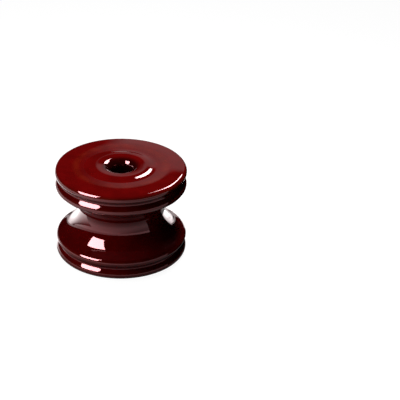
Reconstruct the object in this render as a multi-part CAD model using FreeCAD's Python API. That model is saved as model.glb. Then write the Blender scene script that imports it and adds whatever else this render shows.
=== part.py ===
import FreeCAD, Part
import math
import os

# A glazed porcelain spool insulator: one solid, turned on a lathe and fired whole.
# Millimetres. The bore runs along Z, and the spool stands on its lower boss at Z = 0.
# The lower half is the mirror image of the upper half.

# The whole spool
overall_height = 76.2
flange_diameter = 104.8

# The wire groove: how wide the neck is, and how steeply the flanges slope down to it, in degrees
neck_diameter = 69.8
flank_slope = 24.0

# The bore for the clevis bolt, with a rounded mouth at each end
bore_diameter = 18.5
mouth_rounding = 6.2

# The low boss round each mouth. A flat ring at its top bears against the clevis.
# From that ring it dips a little towards the mouth, and it slopes softly down to the face.
bearing_ring_inner_diameter = 36.0
bearing_ring_outer_diameter = 41.0
bearing_ring_rounding = 10.0
boss_foot_diameter = 55.6
boss_rise = 0.85
boss_dip = 0.1

# The rim of each flange: two ridges with a groove between them, and a face that falls to the rim
face_fall = 0.6
ridge_rounding = 3.2
ridge_pitch = 10.6
rim_groove_depth = 3.2
rim_groove_rounding = 1.6

# Which way the outline turns as it runs up the bore, out over the face and down the rim
OUTWARD = 1
INWARD = -1


class Rounding:
    """A round stretch of the section: OUTWARD for an edge, INWARD for a hollow."""

    def __init__(self, across, up, radius, turn):
        self.across = across
        self.up = up
        self.radius = radius
        self.turn = turn

    def point(self, heading):
        """Where the outline leaves or joins this rounding when it runs in this heading."""
        side = self.turn * self.radius
        return FreeCAD.Vector(
            self.across - side * math.sin(heading),
            0.0,
            self.up + side * math.cos(heading),
        )

    def mirrored(self):
        """The same rounding in the lower half of the spool."""
        return Rounding(self.across, overall_height - self.up, self.radius, self.turn)


def boss_slope_rounding(width):
    """The rounding at the top and foot of the boss's slope, nine tenths of what fits its width."""
    return 0.9 * (width ** 2 + boss_rise ** 2) / (4 * boss_rise)


def upper_roundings():
    """The roundings of the upper half, from the bore's mouth to the rim's inner ridge."""
    flange_radius = flange_diameter / 2
    bore_radius = bore_diameter / 2
    ring_outer_radius = bearing_ring_outer_diameter / 2
    boss_foot_radius = boss_foot_diameter / 2
    slope_rounding = boss_slope_rounding(boss_foot_radius - ring_outer_radius)
    face_level = overall_height - boss_rise
    end_ridge_level = face_level - face_fall - ridge_rounding
    inner_ridge_level = end_ridge_level - ridge_pitch
    rim_groove_level = (end_ridge_level + inner_ridge_level) / 2
    return [
        Rounding(bore_radius + mouth_rounding, overall_height - boss_dip - mouth_rounding,
                 mouth_rounding, OUTWARD),
        Rounding(bearing_ring_inner_diameter / 2, overall_height - bearing_ring_rounding,
                 bearing_ring_rounding, OUTWARD),
        Rounding(ring_outer_radius, overall_height - slope_rounding, slope_rounding, OUTWARD),
        Rounding(boss_foot_radius, face_level + slope_rounding, slope_rounding, INWARD),
        Rounding(flange_radius - ridge_rounding, end_ridge_level,
                 ridge_rounding, OUTWARD),
        Rounding(flange_radius - rim_groove_depth + rim_groove_rounding, rim_groove_level,
                 rim_groove_rounding, INWARD),
        Rounding(flange_radius - ridge_rounding, inner_ridge_level,
                 ridge_rounding, OUTWARD),
    ]


def neck_hollow(inner_ridge):
    """The hollow at mid-height that touches the neck and both flanks, whatever their distance."""
    slope = math.radians(flank_slope)
    mid_level = overall_height / 2
    neck_radius = neck_diameter / 2
    rise = inner_ridge.up - mid_level
    run = inner_ridge.across - neck_radius
    room = rise * math.cos(slope) - run * math.sin(slope) - inner_ridge.radius
    radius = room / (1 - math.sin(slope))
    return Rounding(neck_radius + radius, mid_level, radius, INWARD)


def heading_between(here, there):
    """The heading of the straight line that touches both roundings."""
    across = there.across - here.across
    up = there.up - here.up
    offset = here.turn * here.radius - there.turn * there.radius
    return math.atan2(up, across) - math.asin(offset / math.hypot(across, up))


def section_face():
    """The section through one wall of the spool, from the bore to the wire groove."""
    upper = upper_roundings()
    lower = [rounding.mirrored() for rounding in reversed(upper)]
    chain = upper + [neck_hollow(upper[-1])] + lower
    edges = []
    for place, rounding in enumerate(chain):
        before = chain[place - 1]
        after = chain[(place + 1) % len(chain)]
        heading_in = heading_between(before, rounding)
        heading_out = heading_between(rounding, after)
        if heading_out - heading_in > math.pi:
            heading_in += 2 * math.pi
        if heading_in - heading_out > math.pi:
            heading_out += 2 * math.pi
        start = rounding.point(heading_in)
        middle = rounding.point((heading_in + heading_out) / 2)
        end = rounding.point(heading_out)
        edges.append(Part.Arc(start, middle, end).toShape())
        edges.append(Part.makeLine(end, after.point(heading_out)))
    return Part.Face(Part.Wire(edges))


def porcelain_spool():
    """The whole insulator, as the section turned once round the bore's axis."""
    return section_face().revolve(FreeCAD.Vector(0, 0, 0), FreeCAD.Vector(0, 0, 1), 360)


os.makedirs("parts", exist_ok=True)
porcelain_spool().exportStep("parts/porcelain_spool.step")
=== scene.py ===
import math
import bpy
from mathutils import Matrix, Quaternion, Vector


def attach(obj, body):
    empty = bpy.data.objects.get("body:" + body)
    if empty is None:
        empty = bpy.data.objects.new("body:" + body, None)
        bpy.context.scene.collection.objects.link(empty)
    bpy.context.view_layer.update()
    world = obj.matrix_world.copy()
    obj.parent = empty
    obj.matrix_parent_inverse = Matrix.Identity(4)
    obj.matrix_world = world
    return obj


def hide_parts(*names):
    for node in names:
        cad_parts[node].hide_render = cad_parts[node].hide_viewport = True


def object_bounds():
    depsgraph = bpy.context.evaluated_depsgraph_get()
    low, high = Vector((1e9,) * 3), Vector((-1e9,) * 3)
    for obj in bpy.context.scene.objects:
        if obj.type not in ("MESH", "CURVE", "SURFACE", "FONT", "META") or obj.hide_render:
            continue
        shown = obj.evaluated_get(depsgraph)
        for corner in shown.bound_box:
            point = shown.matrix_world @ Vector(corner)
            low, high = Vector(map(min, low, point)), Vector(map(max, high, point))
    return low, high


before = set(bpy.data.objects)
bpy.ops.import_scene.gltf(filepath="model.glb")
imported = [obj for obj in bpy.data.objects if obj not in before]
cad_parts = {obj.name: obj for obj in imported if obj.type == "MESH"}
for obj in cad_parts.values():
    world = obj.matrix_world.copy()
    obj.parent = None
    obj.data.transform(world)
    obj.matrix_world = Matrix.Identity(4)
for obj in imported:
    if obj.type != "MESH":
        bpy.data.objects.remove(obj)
cad_low, cad_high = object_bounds()

# The spool's sizes in metres: its height from the frame, then the rest of the section
overall_height = cad_high.z - cad_low.z
flange_radius = 0.0524
neck_radius = 0.0349
flank_slope = math.radians(24)
bore_radius = 0.00925
mouth_rounding = 0.0062

# The boss round each mouth, with a slightly crowned ring on top and a shallow moat at its foot
bearing_ring_inner_radius = 0.02
bearing_ring_outer_radius = 0.0205
bearing_ring_rounding = 0.03
boss_foot_radius = 0.0285
boss_rise = 0.00085
boss_dip = 0.0003
boss_slope_fullness = 0.97
moat_depth = 0.00015

# The face's soft crest, and the rim's two ridges with the groove between them
face_crest_radius = 0.0385
face_crest_rounding = 0.07
face_fall = 0.0006
ridge_rounding = 0.0032
ridge_pitch = 0.0106
rim_groove_depth = 0.003
rim_groove_rounding = 0.0017

# The lower ridge of each rim is rounder on the side towards the groove
groove_side_rounding = 0.0039
crest_height = 0.0001

# How finely the section and the turn are divided
arc_step = math.radians(6)
fewest_arc_steps = 3
longest_step = 0.001
turn_steps = 270
weld_distance = 1e-6

# How the fired glaze varies. A range gives the two values that an effect runs between
cloud_scale = 95
cloud_detail = 4
cloud_range = (0.3, 0.7)
cloud_shade_range = (0.86, 1.1)
dull_cloud_range = (0.35, 0.7)
roughness_range = (0.025, 0.05)
speck_scale = 2400
speck_range = (0.68, 0.78)
speck_strength = 0.5
wave_scale = 45
wave_height = 0.00004
glaze_ior = 1.7
glaze_tint = (1, 0.42, 0.45, 1)
coat_colours = {
    "Coat": (0.118, 0.0012, 0.0012, 1),
    "Thin Coat": (0.15, 0.009, 0.003, 1),
    # The pooled coat is partly painted shade: it darkens the inside of the bore, which little light
    # reaches
    "Pooled Coat And Bore Shade": (0.02, 0.0004, 0.0004, 1),
    "Speck": (0.06, 0.002, 0.001, 1),
}

# Where the coat is thin, where it pools in the bore and is painted darker there as shade, and the turning
# marks that the faces keep
thin_crest_width = 0.0012
thin_ring_radius = 0.0355
thin_ring_width = 0.0045
thin_ring_strength = 0.6
thin_cloud_strength_range = (0.35, 1.0)
# Where the bore's darkening starts and is full, out from the bore's wall: pooled glaze and painted shade
pool_and_shade_range = (0.0075, 0.002)
face_depth_range = (0.004, 0.0025)
turning_mark_pitch = 0.0021
turning_mark_height = 0.016

# The bare clay of the ring that the spool stood on in the kiln, with a ragged edge
bare_clay_colour = (0.6, 0.52, 0.42, 1)
bare_level_range = (0.00012, 0.00004)
bare_edge_scale = 700
bare_edge_detail = 3
bare_edge_height = 0.0002
bare_clay_roughness = 0.6

# The camera: a long lens, pitched and rolled as the photograph's, aimed past the spool's right side
picture_side = 400
focal_pixels = 1300
sensor_width = 36
camera_pitch = math.radians(28.7)
camera_roll = math.radians(1.57)
camera_distance = 1.046
spool_middle_pixel = (121.2, 206.8)

# The room and the table
room_radius = 3
room_lowest_elevation = math.radians(4)
room_glow = 0.004
unseen_world_level = 0.02
floor_side = 8
floor_colour = (0.22, 0.22, 0.22, 1)
floor_roughness = 0.9
floor_glow = 0.95

# The cards near the spool, which the glaze mirrors. Those on the table lie at these levels
side_card_size = (0.066, 0.11)
side_card_place = (0.062, -0.003, 0.055)
rim_card_size = (0.08, 0.03)
rim_card_place = (0.062, 0.062, 0.063)
back_card_near = 0.11
back_card_far = 0.15
back_card_width = 0.108
back_card_level = 0.0004
low_card_far = 0.5
low_card_level = 0.0002
table_card_level = 0.0001
table_card_radius = 0.6
table_card_dark_radius = 0.058
table_card_bright_radius = 0.115
table_card_near_glow_range = (0.2, 1.0)
table_card_right = 0.2
table_card_left = -0.25
table_card_side_glow_range = (0.4, 1.6)

# Which way the outline turns as it runs up the bore, out over the face and down the rim
OUTWARD = 1
INWARD = -1


def rounding(across, up, radius, turn):
    """One round stretch of the section: its centre, its radius and which way the outline turns."""
    return {"across": across, "up": up, "radius": radius, "turn": turn}


def boss_slope_rounding(width, drop):
    """The rounding at the top and foot of the boss's slope, a little less than what fits there."""
    return boss_slope_fullness * (width ** 2 + drop ** 2) / (4 * drop)


def upper_roundings(end_ridge_groove_side, inner_ridge_groove_side):
    """The roundings of the upper half, from the bore's mouth to the rim's inner ridge. Both ridges
    have a rounding of their own on the side towards the groove."""
    face_level = overall_height - boss_rise
    moat_level = face_level - moat_depth
    slope_rounding = boss_slope_rounding(boss_foot_radius - bearing_ring_outer_radius,
                                         overall_height - moat_level)
    end_ridge_level = face_level - face_fall - ridge_rounding
    inner_ridge_level = end_ridge_level - ridge_pitch
    rim_groove_level = (end_ridge_level + inner_ridge_level) / 2
    ridge_across = flange_radius - ridge_rounding
    return [
        rounding(bore_radius + mouth_rounding, overall_height - boss_dip - mouth_rounding,
                 mouth_rounding, OUTWARD),
        rounding(bearing_ring_inner_radius, overall_height - bearing_ring_rounding,
                 bearing_ring_rounding, OUTWARD),
        rounding(bearing_ring_outer_radius, overall_height - slope_rounding, slope_rounding, OUTWARD),
        rounding(boss_foot_radius, moat_level + slope_rounding, slope_rounding, INWARD),
        rounding(face_crest_radius, face_level - face_crest_rounding, face_crest_rounding, OUTWARD),
        rounding(ridge_across, end_ridge_level, ridge_rounding, OUTWARD),
        rounding(flange_radius - end_ridge_groove_side, end_ridge_level - crest_height,
                 end_ridge_groove_side, OUTWARD),
        rounding(flange_radius - rim_groove_depth + rim_groove_rounding, rim_groove_level,
                 rim_groove_rounding, INWARD),
        rounding(flange_radius - inner_ridge_groove_side, inner_ridge_level + crest_height,
                 inner_ridge_groove_side, OUTWARD),
        rounding(ridge_across, inner_ridge_level, ridge_rounding, OUTWARD),
    ]


def neck_hollow(inner_ridge):
    """The hollow at mid-height that touches the neck and both flanks."""
    middle = overall_height / 2
    rise = inner_ridge["up"] - middle
    run = inner_ridge["across"] - neck_radius
    room = rise * math.cos(flank_slope) - run * math.sin(flank_slope) - inner_ridge["radius"]
    radius = room / (1 - math.sin(flank_slope))
    return rounding(neck_radius + radius, middle, radius, INWARD)


def section_roundings():
    """All the roundings in order, up the bore, over the upper half and down through the lower one."""
    upper = upper_roundings(ridge_rounding, groove_side_rounding)
    lower = upper_roundings(groove_side_rounding, ridge_rounding)
    lower = [dict(each, up=overall_height - each["up"]) for each in reversed(lower)]
    return upper + [neck_hollow(upper[-1])] + lower


def heading_between(here, there):
    """The heading of the straight line that touches both roundings."""
    across = there["across"] - here["across"]
    up = there["up"] - here["up"]
    offset = here["turn"] * here["radius"] - there["turn"] * there["radius"]
    return math.atan2(up, across) - math.asin(offset / math.hypot(across, up))


def touching_point(each, heading):
    """Where the outline leaves or joins this rounding when it runs in this heading."""
    side = each["turn"] * each["radius"]
    return Vector((each["across"] - side * math.sin(heading), 0, each["up"] + side * math.cos(heading)))


def section_points():
    """The section's outline as points close enough together to look round."""
    chain = section_roundings()
    points = []
    for place, each in enumerate(chain):
        following = chain[(place + 1) % len(chain)]
        heading_in = heading_between(chain[place - 1], each)
        heading_out = heading_between(each, following)
        if heading_out - heading_in > math.pi:
            heading_in += 2 * math.pi
        if heading_in - heading_out > math.pi:
            heading_out += 2 * math.pi
        bend = abs(heading_out - heading_in)
        steps = max(fewest_arc_steps, math.ceil(bend / arc_step),
                    math.ceil(bend * each["radius"] / longest_step))
        for step in range(steps + 1):
            heading = heading_in + (heading_out - heading_in) * step / steps
            points.append(touching_point(each, heading))
        start = points[-1]
        end = touching_point(following, heading_out)
        pieces = math.ceil((end - start).length / longest_step)
        for piece in range(1, pieces):
            points.append(start.lerp(end, piece / pieces))
    return points


def edit_only(piece):
    """Makes this piece the only selected one and opens it in edit mode."""
    bpy.ops.object.select_all(action="DESELECT")
    piece.select_set(True)
    bpy.context.view_layer.objects.active = piece
    bpy.ops.object.mode_set(mode="EDIT")


def spun_spool():
    """The spool's section drawn point by point by extrusion, then spun once round the bore."""
    points = section_points()
    bpy.ops.mesh.primitive_plane_add(size=longest_step, location=(0, 0, 0))
    spool = bpy.context.object
    spool.name = "glazed_spool"
    spool.data.name = "glazed_spool"
    edit_only(spool)
    bpy.ops.mesh.select_all(action="SELECT")
    bpy.ops.mesh.merge(type="CENTER")
    bpy.ops.transform.translate(value=points[0])
    here = points[0]
    for there in points[1:] + points[:1]:
        bpy.ops.mesh.extrude_region_move(TRANSFORM_OT_translate={"value": there - here})
        here = there
    bpy.ops.mesh.select_all(action="SELECT")
    bpy.ops.mesh.remove_doubles(threshold=weld_distance)
    bpy.ops.mesh.spin(steps=turn_steps, angle=2 * math.pi, center=(0, 0, 0), axis=(0, 0, 1))
    bpy.ops.mesh.select_all(action="SELECT")
    bpy.ops.mesh.remove_doubles(threshold=weld_distance)
    bpy.ops.mesh.normals_make_consistent(inside=False)
    bpy.ops.object.mode_set(mode="OBJECT")
    bpy.ops.object.shade_smooth()
    return spool


def add_node(tree, kind, inputs, **options):
    """Adds a node with these options. Each input is a plain value or the socket it is fed from."""
    node = tree.nodes.new(kind)
    for option, value in options.items():
        setattr(node, option, value)
    for socket, value in inputs.items():
        if isinstance(value, bpy.types.NodeSocket):
            tree.links.new(value, node.inputs[socket])
        else:
            node.inputs[socket].default_value = value
    return node


def calculate(tree, operation, first, second=0.0):
    """One step of arithmetic on one or two numbers."""
    return add_node(tree, "ShaderNodeMath", {0: first, 1: second}, operation=operation).outputs[0]


def ramp(tree, value, start, end, low=0.0, high=1.0):
    """A smooth change from low to high while the value goes from start to end."""
    inputs = {"Value": value, "From Min": start, "From Max": end, "To Min": low, "To Max": high}
    step = add_node(tree, "ShaderNodeMapRange", inputs, interpolation_type="SMOOTHSTEP")
    return step.outputs["Result"]


def blend(tree, amount, first, second):
    """The first colour turning into the second one as the amount rises."""
    mix = add_node(tree, "ShaderNodeMix", {"Factor": amount}, data_type="RGBA")
    for socket, colour in (("A_Color", first), ("B_Color", second)):
        tree.links.new(colour, [each for each in mix.inputs if each.identifier == socket][0])
    return [each for each in mix.outputs if each.identifier == "Result_Color"][0]


def own_place(tree):
    """The place on the object that is being painted, in the object's own metres."""
    return add_node(tree, "ShaderNodeTexCoord", {}).outputs["Object"]


def three_axes(tree, place):
    """A place split into its three coordinates."""
    return add_node(tree, "ShaderNodeSeparateXYZ", {0: place}).outputs


def noise(tree, place, scale, detail):
    """Soft random values that lie fixed in the clay."""
    inputs = {"Vector": place, "Scale": scale, "Detail": detail}
    return add_node(tree, "ShaderNodeTexNoise", inputs).outputs["Fac"]


def fired_surface_group():
    """What the kiln makes of a coat of glaze. It thins over the crests, pools in the bore, where it is
    also painted darker as shade, clouds and specks a little, and keeps the slow waves and the turning
    marks of the clay under it."""
    tree = bpy.data.node_groups.new("fired_surface", "ShaderNodeTree")
    for name in coat_colours:
        tree.interface.new_socket(name, in_out="INPUT", socket_type="NodeSocketColor")
    tree.interface.new_socket("Color", in_out="OUTPUT", socket_type="NodeSocketColor")
    tree.interface.new_socket("Roughness", in_out="OUTPUT", socket_type="NodeSocketFloat")
    tree.interface.new_socket("Height", in_out="OUTPUT", socket_type="NodeSocketFloat")
    given = tree.nodes.new("NodeGroupInput")
    result = tree.nodes.new("NodeGroupOutput")
    place = own_place(tree)
    axes = three_axes(tree, place)
    squares = [calculate(tree, "MULTIPLY", axes[axis], axes[axis]) for axis in (0, 1)]
    radius = calculate(tree, "SQRT", calculate(tree, "ADD", squares[0], squares[1]))
    from_middle = calculate(tree, "SUBTRACT", axes[2], overall_height / 2)
    from_middle = calculate(tree, "ABSOLUTE", from_middle)
    clouds = noise(tree, place, cloud_scale, cloud_detail)
    specks = noise(tree, place, speck_scale, 1)
    waves = noise(tree, place, wave_scale, 1)

    face_start, face_full = [overall_height / 2 - depth for depth in face_depth_range]
    on_face = ramp(tree, from_middle, face_start, face_full)
    rim_crest = ramp(tree, radius, flange_radius - thin_crest_width, flange_radius)
    from_thin_ring = calculate(tree, "SUBTRACT", radius, thin_ring_radius)
    from_thin_ring = calculate(tree, "ABSOLUTE", from_thin_ring)
    thin_ring = ramp(tree, from_thin_ring, thin_ring_width, 0.0, 0.0, thin_ring_strength)
    thin_ring = calculate(tree, "MULTIPLY", thin_ring, on_face)
    thin = calculate(tree, "MAXIMUM", rim_crest, thin_ring)
    thin_clouds = ramp(tree, clouds, *cloud_range, *thin_cloud_strength_range)
    thin = calculate(tree, "MULTIPLY", thin, thin_clouds)
    # Darker towards the bore: glaze that pools there, and painted shade for the bore's inside
    pool_shade_start, pool_shade_full = [bore_radius + width for width in pool_and_shade_range]
    pooled_and_shaded = ramp(tree, radius, pool_shade_start, pool_shade_full)
    speckled = ramp(tree, specks, *speck_range, 0.0, speck_strength)

    colour = blend(tree, thin, given.outputs["Coat"], given.outputs["Thin Coat"])
    colour = blend(tree, pooled_and_shaded, colour, given.outputs["Pooled Coat And Bore Shade"])
    colour = blend(tree, speckled, colour, given.outputs["Speck"])
    shade = ramp(tree, clouds, *cloud_range, *cloud_shade_range)
    shaded = add_node(tree, "ShaderNodeVectorMath", {0: colour, "Scale": shade}, operation="SCALE")

    turn = calculate(tree, "MULTIPLY", radius, 2 * math.pi / turning_mark_pitch)
    marks = calculate(tree, "MULTIPLY", calculate(tree, "SINE", turn), turning_mark_height)
    marks = calculate(tree, "MULTIPLY", marks, on_face)
    roughness = ramp(tree, clouds, *dull_cloud_range, *roughness_range)
    tree.links.new(shaded.outputs["Vector"], result.inputs["Color"])
    tree.links.new(roughness, result.inputs["Roughness"])
    tree.links.new(calculate(tree, "ADD", waves, marks), result.inputs["Height"])
    return tree


def bare_clay_mask(tree):
    """A value that is 1 on the ring that the spool stood on in the kiln, and 0 elsewhere."""
    place = own_place(tree)
    ragged = noise(tree, place, bare_edge_scale, bare_edge_detail)
    edge = calculate(tree, "MULTIPLY", calculate(tree, "SUBTRACT", ragged, 0.5), bare_edge_height)
    level = calculate(tree, "ADD", three_axes(tree, place)[2], edge)
    return ramp(tree, level, *bare_level_range)


def glaze():
    """Dark red-brown glaze, glossy as glass. The ring that the spool stood on in the kiln is bare."""
    material = bpy.data.materials.new("brown_glaze")
    material.use_nodes = True
    tree = material.node_tree
    shader = tree.nodes["Principled BSDF"]
    surface = add_node(tree, "ShaderNodeGroup", {}, node_tree=fired_surface_group())
    for name, colour in coat_colours.items():
        surface.inputs[name].default_value = colour
    bare = bare_clay_mask(tree)
    clay = add_node(tree, "ShaderNodeRGB", {})
    clay.outputs[0].default_value = bare_clay_colour
    colour = blend(tree, bare, surface.outputs["Color"], clay.outputs[0])
    roughness = ramp(tree, bare, 0.0, 1.0, 0.0, bare_clay_roughness)
    roughness = calculate(tree, "ADD", surface.outputs["Roughness"], roughness)
    bump = add_node(tree, "ShaderNodeBump", {"Height": surface.outputs["Height"], "Distance": wave_height})
    tree.links.new(colour, shader.inputs["Base Color"])
    tree.links.new(roughness, shader.inputs["Roughness"])
    tree.links.new(bump.outputs["Normal"], shader.inputs["Normal"])
    shader.inputs["IOR"].default_value = glaze_ior
    shader.inputs["Specular Tint"].default_value = glaze_tint
    return material


def place_camera():
    """The photograph's camera, from its pitch, roll, lens and the pixel that it sees the middle at."""
    camera = bpy.data.objects.new("camera", bpy.data.cameras.new("camera"))
    bpy.context.scene.collection.objects.link(camera)
    camera.data.sensor_width = sensor_width
    camera.data.lens = sensor_width * focal_pixels / picture_side
    camera.data.clip_start = 0.05
    camera.data.clip_end = 20
    level = Matrix.Rotation(math.pi / 2 - camera_pitch, 3, "X")
    turned = level @ Matrix.Rotation(camera_roll, 3, "Z")
    across = (spool_middle_pixel[0] - picture_side / 2) / focal_pixels
    down = (spool_middle_pixel[1] - picture_side / 2) / focal_pixels
    toward_spool = turned @ Vector((across, -down, -1)) * camera_distance
    middle = Vector((0, 0, overall_height / 2))
    camera.matrix_world = Matrix.Translation(middle - toward_spool) @ turned.to_4x4()
    bpy.context.scene.camera = camera


def seen_by_bounces(tree):
    """A value that is 1 for camera, glossy and transmission rays, and 0 for the rest."""
    path = add_node(tree, "ShaderNodeLightPath", {}).outputs
    seen = calculate(tree, "MAXIMUM", path["Is Camera Ray"], path["Is Glossy Ray"])
    return calculate(tree, "MAXIMUM", seen, path["Is Transmission Ray"])


def make_world():
    """White where it is seen, and a low even light elsewhere."""
    world = bpy.data.worlds.new("studio")
    bpy.context.scene.world = world
    world.use_nodes = True
    tree = world.node_tree
    background = tree.nodes["Background"]
    background.inputs["Color"].default_value = (1, 1, 1, 1)
    strength = ramp(tree, seen_by_bounces(tree), 0.0, 1.0, unseen_world_level, 1.0)
    tree.links.new(strength, background.inputs["Strength"])


def make_floor():
    """A pale table top that keeps the spool's shadow. From below it is clear, so that the underside
    can be looked at."""
    bpy.ops.mesh.primitive_plane_add(size=floor_side, location=(0, 0, 0))
    floor = bpy.context.object
    floor.name = "floor"
    material = bpy.data.materials.new("floor")
    material.use_nodes = True
    tree = material.node_tree
    shader = tree.nodes["Principled BSDF"]
    shader.inputs["Base Color"].default_value = floor_colour
    shader.inputs["Roughness"].default_value = floor_roughness
    shader.inputs["Specular IOR Level"].default_value = 0
    shader.inputs["Emission Color"].default_value = (1, 1, 1, 1)
    glow = calculate(tree, "MULTIPLY", seen_by_bounces(tree), floor_glow)
    tree.links.new(glow, shader.inputs["Emission Strength"])
    below = add_node(tree, "ShaderNodeNewGeometry", {}).outputs["Backfacing"]
    clear = add_node(tree, "ShaderNodeBsdfTransparent", {}).outputs["BSDF"]
    either = add_node(tree, "ShaderNodeMixShader", {0: below, 1: shader.outputs["BSDF"], 2: clear})
    tree.links.new(either.outputs["Shader"], tree.nodes["Material Output"].inputs["Surface"])
    floor.data.materials.append(material)


def card_paint(name, glow):
    """Flat black that gives off this much light."""
    material = bpy.data.materials.new(name)
    material.use_nodes = True
    shader = material.node_tree.nodes["Principled BSDF"]
    shader.inputs["Base Color"].default_value = (0.01, 0.01, 0.01, 1)
    shader.inputs["Roughness"].default_value = 1
    shader.inputs["Specular IOR Level"].default_value = 0
    shader.inputs["Emission Color"].default_value = (1, 1, 1, 1)
    shader.inputs["Emission Strength"].default_value = glow
    return material


def set_glow(material, glow):
    """Feeds the light that a card gives off from this socket."""
    tree = material.node_tree
    tree.links.new(glow, tree.nodes["Principled BSDF"].inputs["Emission Strength"])


def fade_edges(material, size, glow, fade):
    """Lets a card's glow die away towards its sides and its ends, where the fade isn't 0."""
    tree = material.node_tree
    axes = three_axes(tree, own_place(tree))
    for axis in (0, 1):
        if fade[axis] > 0:
            distance = calculate(tree, "ABSOLUTE", axes[axis])
            edge = ramp(tree, distance, size[axis] / 2, size[axis] / 2 - fade[axis])
            glow = calculate(tree, "MULTIPLY", edge, glow)
    set_glow(material, glow)


def plain_card(name, size, glow, fade=(0, 0)):
    """A flat card of this size. It glows, weaker towards its edges over the fade's two widths."""
    bpy.ops.mesh.primitive_plane_add(size=1, location=(0, 0, 0))
    card = bpy.context.object
    card.name = name
    edit_only(card)
    bpy.ops.mesh.select_all(action="SELECT")
    bpy.ops.transform.resize(value=(size[0], size[1], 1))
    bpy.ops.object.mode_set(mode="OBJECT")
    card.data.materials.append(card_paint(name, glow))
    if any(fade):
        fade_edges(card.data.materials[0], size, glow, fade)
    card.visible_camera = False
    return card


def only_mirror(card):
    """Lets nothing but reflections show this card."""
    card.visible_camera = False
    card.visible_diffuse = False
    card.visible_shadow = False


def outward(azimuth, elevation):
    """A direction away from the spool. Azimuth 0 is the camera's side and 90 the right."""
    turn = math.radians(azimuth)
    lift = math.radians(elevation)
    return Vector((math.sin(turn) * math.cos(lift), -math.cos(turn) * math.cos(lift), math.sin(lift)))


def face_spool(item, azimuth, elevation, distance, roll):
    """Puts a lamp or a card at this distance from the spool's middle, turned to face it."""
    away = outward(azimuth, elevation)
    item.location = Vector((0, 0, overall_height / 2)) + away * distance
    item.rotation_mode = "QUATERNION"
    item.rotation_quaternion = away.to_track_quat("Z", "Y") @ Quaternion((0, 0, 1), math.radians(roll))


def soft_lamp(name, azimuth, elevation, distance, side, level):
    """A square lamp whose level is 1 where it alone shows a surface that faces it at its own colour."""
    data = bpy.data.lights.new(name, "AREA")
    data.shape = "RECTANGLE"
    data.size = side
    data.size_y = side
    data.energy = level * (math.pi * distance) ** 2
    lamp = bpy.data.objects.new(name, data)
    bpy.context.scene.collection.objects.link(lamp)
    face_spool(lamp, azimuth, elevation, distance, 0)
    lamp.visible_camera = False
    lamp.visible_glossy = False


def mirrored_card(name, azimuth, elevation, distance, size, roll, glow, fade):
    """A card in the room that the glaze mirrors, at this distance from the spool's middle."""
    card = plain_card(name, size, glow, fade)
    face_spool(card, azimuth, elevation, distance, roll)
    only_mirror(card)


def dark_room():
    """The dim room over the table, as the glaze mirrors it from a little above the horizon up."""
    bpy.ops.mesh.primitive_uv_sphere_add(segments=64, ring_count=64, radius=room_radius)
    room = bpy.context.object
    room.name = "dark_room"
    edit_only(room)
    bpy.ops.mesh.select_all(action="SELECT")
    lowest = overall_height / 2 + room_radius * math.sin(room_lowest_elevation)
    bpy.ops.mesh.bisect(plane_co=(0, 0, lowest), plane_no=(0, 0, 1), clear_inner=True)
    bpy.ops.object.mode_set(mode="OBJECT")
    room.data.materials.append(card_paint("dark_room", room_glow))
    only_mirror(room)


def side_card(name, size, place):
    """A black card that stands close to the spool's right side. It casts no shadow."""
    card = plain_card(name, size, 0)
    card.rotation_euler = (math.pi / 2, 0, math.pi / 2)
    card.location = place
    card.visible_shadow = False


def back_card():
    """A black card that lies on the table behind the spool. The outermost edges of the glaze
    mirror it, so they stay dark."""
    card = plain_card("back_card", (back_card_width, back_card_far - back_card_near), 0)
    card.location = (0, (back_card_near + back_card_far) / 2, back_card_level)
    only_mirror(card)


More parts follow.
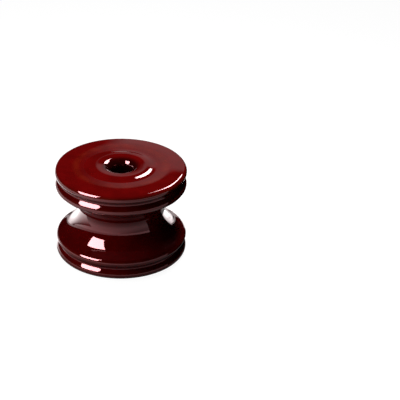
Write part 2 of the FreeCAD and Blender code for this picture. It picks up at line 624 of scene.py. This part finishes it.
def low_card(name, azimuth, near, width, height, glow):
    """A bright card that lies on the table from this near end on and stands up to this height at
    its far end. It is brightest along its middle."""
    length = low_card_far - near
    card = plain_card(name, (width, length), glow, (width / 2, 0))
    edit_only(card)
    bpy.ops.mesh.select_all(action="DESELECT")
    bpy.ops.object.mode_set(mode="OBJECT")
    for edge in card.data.edges:
        ends = [card.data.vertices[corner].co.y for corner in edge.vertices]
        edge.select = min(ends) > 0
    bpy.ops.object.mode_set(mode="EDIT")
    bpy.ops.mesh.extrude_region_move(TRANSFORM_OT_translate={"value": (0, 0, height)})
    bpy.ops.object.mode_set(mode="OBJECT")
    card.location = outward(azimuth, 0) * (near + length / 2) + Vector((0, 0, low_card_level))
    card.rotation_euler = (0, 0, math.radians(azimuth - 180))
    only_mirror(card)


def table_card():
    """A disc on the table, which the glaze mirrors. It is dark near the spool's foot, where little
    light gets in, and grows brighter from right to left."""
    bpy.ops.mesh.primitive_circle_add(vertices=64, radius=table_card_radius, fill_type="NGON",
                                      location=(0, 0, table_card_level))
    card = bpy.context.object
    card.name = "table_card"
    material = card_paint("table_card", 0)
    tree = material.node_tree
    place = own_place(tree)
    distance = add_node(tree, "ShaderNodeVectorMath", {0: place}, operation="LENGTH").outputs["Value"]
    near = ramp(tree, distance, table_card_dark_radius, table_card_bright_radius,
                *table_card_near_glow_range)
    side = ramp(tree, three_axes(tree, place)[0], table_card_right, table_card_left,
                *table_card_side_glow_range)
    set_glow(material, calculate(tree, "MULTIPLY", near, side))
    card.data.materials.append(material)
    only_mirror(card)


spool = spun_spool()
spool.data.materials.append(glaze())
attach(spool, "root")
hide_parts("porcelain_spool")

place_camera()
make_world()
make_floor()
dark_room()
side_card("side_card", side_card_size, side_card_place)
side_card("rim_card", rim_card_size, rim_card_place)
back_card()
table_card()
low_card("low_left_card", azimuth=-145, near=0.035, width=0.3, height=0.03, glow=3.0)
low_card("low_right_card", azimuth=150, near=0.08, width=0.24, height=0.03, glow=3.5)
soft_lamp("key_lamp", azimuth=150, elevation=79, distance=0.42, side=0.16, level=1.0)
soft_lamp("fill_lamp", azimuth=-68, elevation=26, distance=0.6, side=0.3, level=0.4)
mirrored_card("front_left_box", azimuth=-59.5, elevation=40.5, distance=0.7, size=(0.36, 0.51),
              roll=24, glow=28, fade=(0.012, 0.012))
mirrored_card("back_box", azimuth=152.3, elevation=42.5, distance=0.7, size=(0.335, 0.24),
              roll=1.7, glow=22, fade=(0.012, 0.012))
mirrored_card("back_panel", azimuth=172.3, elevation=20.7, distance=0.9, size=(0.44, 0.34),
              roll=0, glow=0.28, fade=(0.07, 0.036))

bpy.context.scene.view_settings.view_transform = "Standard"
